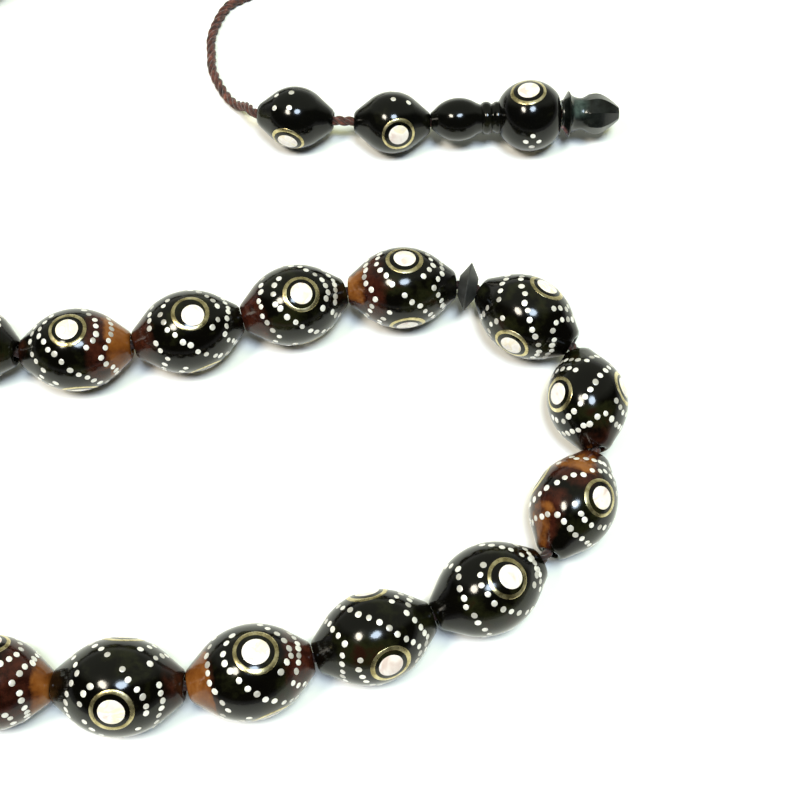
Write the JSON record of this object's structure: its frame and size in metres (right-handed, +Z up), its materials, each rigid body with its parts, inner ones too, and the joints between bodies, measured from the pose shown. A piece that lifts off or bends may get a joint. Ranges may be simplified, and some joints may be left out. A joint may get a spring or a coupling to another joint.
{
  "type": "prayer beads",
  "caption": "Strand of inlaid black olive prayer beads with flat separators, a turned imam and a corded tail ending in a drop and finial.",
  "frame": {"origin": "centre of the strand's footprint on the table it lies on", "axes": "+X towards the finial's end of the tail, the longer way across the footprint; +Z up, the thin way"},
  "size_m": [0.1463, 0.1443, 0.0113],
  "materials": {
    "bead_black": "polished",
    "tail_black": "polished",
    "charcoal": "matte",
    "finial_black": "satin",
    "mother_of_pearl": "polished",
    "ring_brass": "satin",
    "pin_silver": "polished",
    "loop_cord": "twisted",
    "tail_cord": "twisted"
  },
  "bodies": {
    "strand": {"loop_cord": "loop_cord", "imam": "tail_black", "imam_pearls": "mother_of_pearl", "imam_rings": "ring_brass", "imam_pins": "pin_silver", "imam_knot": "tail_cord", "tail_cord": "tail_cord", "end_knot": "tail_cord", "finial": "finial_black"},
    "bead_01": {"bead_01": "bead_black"},
    "bead_02": {"bead_02": "bead_black"},
    "bead_03": {"bead_03": "bead_black"},
    "bead_04": {"bead_04": "bead_black"},
    "bead_05": {"bead_05": "bead_black"},
    "bead_06": {"bead_06": "bead_black"},
    "bead_07": {"bead_07": "bead_black"},
    "bead_08": {"bead_08": "bead_black"},
    "bead_09": {"bead_09": "bead_black"},
    "bead_10": {"bead_10": "bead_black"},
    "bead_11": {"bead_11": "bead_black"},
    "separator_1": {"separator_1": "charcoal"},
    "bead_12": {"bead_12": "bead_black"},
    "bead_13": {"bead_13": "bead_black"},
    "bead_14": {"bead_14": "bead_black"},
    "bead_15": {"bead_15": "bead_black"},
    "bead_16": {"bead_16": "bead_black"},
    "bead_17": {"bead_17": "bead_black"},
    "bead_18": {"bead_18": "bead_black"},
    "bead_19": {"bead_19": "bead_black"},
    "bead_20": {"bead_20": "bead_black"},
    "bead_21": {"bead_21": "bead_black"},
    "bead_22": {"bead_22": "bead_black"},
    "separator_2": {"separator_2": "charcoal"},
    "bead_23": {"bead_23": "bead_black"},
    "bead_24": {"bead_24": "bead_black"},
    "bead_25": {"bead_25": "bead_black"},
    "bead_26": {"bead_26": "bead_black"},
    "bead_27": {"bead_27": "bead_black"},
    "bead_28": {"bead_28": "bead_black"},
    "bead_29": {"bead_29": "bead_black"},
    "bead_30": {"bead_30": "bead_black"},
    "bead_31": {"bead_31": "bead_black"},
    "bead_32": {"bead_32": "bead_black"},
    "bead_33": {"bead_33": "bead_black"},
    "tail_bead_1": {"tail_bead_1": "tail_black", "tail_bead_1_pearls": "mother_of_pearl", "tail_bead_1_rings": "ring_brass", "tail_bead_1_pins": "pin_silver"},
    "tail_bead_2": {"tail_bead_2": "tail_black", "tail_bead_2_pearls": "mother_of_pearl", "tail_bead_2_rings": "ring_brass", "tail_bead_2_pins": "pin_silver"},
    "tail_drop": {"tail_drop": "tail_black", "tail_drop_pearls": "mother_of_pearl", "tail_drop_rings": "ring_brass", "tail_drop_pins": "pin_silver"}
  },
  "joints": [
    {"name": "bead_01_spin", "type": "hinge", "parent": "strand", "child": "bead_01", "pos_m": [-0.00879, 0.04835, 0.0053], "axis": [-0.848, -0.5299, 0], "continuous": true},
    {"name": "bead_02_spin", "type": "hinge", "parent": "strand", "child": "bead_02", "pos_m": [-0.01959, 0.03899, 0.00519], "axis": [-0.6428, -0.766, 0], "continuous": true},
    {"name": "bead_03_spin", "type": "hinge", "parent": "strand", "child": "bead_03", "pos_m": [-0.02706, 0.02674, 0.00535], "axis": [-0.3907, -0.9205, 0], "continuous": true},
    {"name": "bead_04_spin", "type": "hinge", "parent": "strand", "child": "bead_04", "pos_m": [-0.03091, 0.013, 0.00514], "axis": [-0.1392, -0.9903, 0], "continuous": true},
    {"name": "bead_05_spin", "type": "hinge", "parent": "strand", "child": "bead_05", "pos_m": [-0.03101, -0.0012, 0.0053], "axis": [0.1219, -0.9925, 0], "continuous": true},
    {"name": "bead_06_spin", "type": "hinge", "parent": "strand", "child": "bead_06", "pos_m": [-0.02518, -0.01451, 0.00541], "axis": [0.6428, -0.766, 0], "continuous": true},
    {"name": "bead_07_spin", "type": "hinge", "parent": "strand", "child": "bead_07", "pos_m": [-0.01298, -0.0222, 0.00525], "axis": [0.9703, -0.2419, 0], "continuous": true},
    {"name": "bead_08_spin", "type": "hinge", "parent": "strand", "child": "bead_08", "pos_m": [0.00134, -0.02332, 0.0053], "axis": [0.9962, 0.0872, 0], "continuous": true},
    {"name": "bead_09_spin", "type": "hinge", "parent": "strand", "child": "bead_09", "pos_m": [0.01547, -0.02076, 0.0053], "axis": [0.9636, 0.2672, 0], "continuous": true},
    {"name": "bead_10_spin", "type": "hinge", "parent": "strand", "child": "bead_10", "pos_m": [0.02896, -0.0169, 0.00519], "axis": [0.9588, 0.284, 0], "continuous": true},
    {"name": "bead_11_spin", "type": "hinge", "parent": "strand", "child": "bead_11", "pos_m": [0.04299, -0.01444, 0.0053], "axis": [0.9981, 0.061, 0], "continuous": true},
    {"name": "separator_1_spin", "type": "hinge", "parent": "strand", "child": "separator_1", "pos_m": [0.0516, -0.01427, 0.00527], "axis": [0.9816, -0.1908, 0], "continuous": true},
    {"name": "bead_12_spin", "type": "hinge", "parent": "strand", "child": "bead_12", "pos_m": [0.05909, -0.01861, 0.00525], "axis": [0.829, -0.5592, 0], "continuous": true},
    {"name": "bead_13_spin", "type": "hinge", "parent": "strand", "child": "bead_13", "pos_m": [0.06635, -0.03023, 0.00504], "axis": [0.1219, -0.9925, 0], "continuous": true},
    {"name": "bead_14_spin", "type": "hinge", "parent": "strand", "child": "bead_14", "pos_m": [0.06387, -0.04392, 0.00519], "axis": [-0.454, -0.891, 0], "continuous": true},
    {"name": "bead_15_spin", "type": "hinge", "parent": "strand", "child": "bead_15", "pos_m": [0.05319, -0.05448, 0.00541], "axis": [-0.891, -0.454, 0], "continuous": true},
    {"name": "bead_16_spin", "type": "hinge", "parent": "strand", "child": "bead_16", "pos_m": [0.03969, -0.0602, 0.00546], "axis": [-0.9455, -0.3256, 0], "continuous": true},
    {"name": "bead_17_spin", "type": "hinge", "parent": "strand", "child": "bead_17", "pos_m": [0.02549, -0.06427, 0.00551], "axis": [-0.9744, -0.225, 0], "continuous": true},
    {"name": "bead_18_spin", "type": "hinge", "parent": "strand", "child": "bead_18", "pos_m": [0.01043, -0.06596, 0.00567], "axis": [-1, 0, 0], "continuous": true},
    {"name": "bead_19_spin", "type": "hinge", "parent": "strand", "child": "bead_19", "pos_m": [-0.0045, -0.06545, 0.00546], "axis": [-0.9976, 0.0698, 0], "continuous": true},
    {"name": "bead_20_spin", "type": "hinge", "parent": "strand", "child": "bead_20", "pos_m": [-0.01888, -0.06319, 0.0053], "axis": [-0.9703, 0.2419, 0], "continuous": true},
    {"name": "bead_21_spin", "type": "hinge", "parent": "strand", "child": "bead_21", "pos_m": [-0.03242, -0.05812, 0.00535], "axis": [-0.891, 0.454, 0], "continuous": true},
    {"name": "bead_22_spin", "type": "hinge", "parent": "strand", "child": "bead_22", "pos_m": [-0.04437, -0.05024, 0.00519], "axis": [-0.766, 0.6428, 0], "continuous": true},
    {"name": "separator_2_spin", "type": "hinge", "parent": "strand", "child": "separator_2", "pos_m": [-0.05065, -0.04463, 0.00527], "axis": [-0.6293, 0.7771, 0], "continuous": true},
    {"name": "bead_23_spin", "type": "hinge", "parent": "strand", "child": "bead_23", "pos_m": [-0.05503, -0.03722, 0.00535], "axis": [-0.4848, 0.8746, 0], "continuous": true},
    {"name": "bead_24_spin", "type": "hinge", "parent": "strand", "child": "bead_24", "pos_m": [-0.06094, -0.02431, 0.00514], "axis": [-0.342, 0.9397, 0], "continuous": true},
    {"name": "bead_25_spin", "type": "hinge", "parent": "strand", "child": "bead_25", "pos_m": [-0.06492, -0.0108, 0.0053], "axis": [-0.225, 0.9744, 0], "continuous": true},
    {"name": "bead_26_spin", "type": "hinge", "parent": "strand", "child": "bead_26", "pos_m": [-0.06728, 0.00324, 0.00525], "axis": [-0.1045, 0.9945, 0], "continuous": true},
    {"name": "bead_27_spin", "type": "hinge", "parent": "strand", "child": "bead_27", "pos_m": [-0.06777, 0.01762, 0.00541], "axis": [0.0349, 0.9994, 0], "continuous": true},
    {"name": "bead_28_spin", "type": "hinge", "parent": "strand", "child": "bead_28", "pos_m": [-0.06604, 0.03186, 0.00519], "axis": [0.2079, 0.9781, 0], "continuous": true},
    {"name": "bead_29_spin", "type": "hinge", "parent": "strand", "child": "bead_29", "pos_m": [-0.06138, 0.04534, 0.0053], "axis": [0.4384, 0.8988, 0], "continuous": true},
    {"name": "bead_30_spin", "type": "hinge", "parent": "strand", "child": "bead_30", "pos_m": [-0.0533, 0.05696, 0.00509], "axis": [0.6947, 0.7193, 0], "continuous": true},
    {"name": "bead_31_spin", "type": "hinge", "parent": "strand", "child": "bead_31", "pos_m": [-0.04153, 0.06496, 0.00535], "axis": [0.9205, 0.3907, 0], "continuous": true},
    {"name": "bead_32_spin", "type": "hinge", "parent": "strand", "child": "bead_32", "pos_m": [-0.02722, 0.06738, 0.0053], "axis": [0.9976, -0.0698, 0], "continuous": true},
    {"name": "bead_33_count_slide", "type": "slide", "parent": "strand", "child": "bead_33", "axis": [0.848, -0.5299, 0], "range_m": [0, 0.005]},
    {"name": "tail_bead_1_count_slide", "type": "slide", "parent": "strand", "child": "tail_bead_1", "axis": [0.9954, -0.0958, 0], "range_m": [0, 0.0027]},
    {"name": "tail_bead_2_spin", "type": "hinge", "parent": "strand", "child": "tail_bead_2", "pos_m": [0.04164, 0.01187, 0.00425], "axis": [0.9997, -0.0262, 0], "continuous": true},
    {"name": "tail_drop_spin", "type": "hinge", "parent": "strand", "child": "tail_drop", "pos_m": [0.05587, 0.01228, 0.00485], "axis": [0.9981, 0.061, 0], "continuous": true}
  ]
}
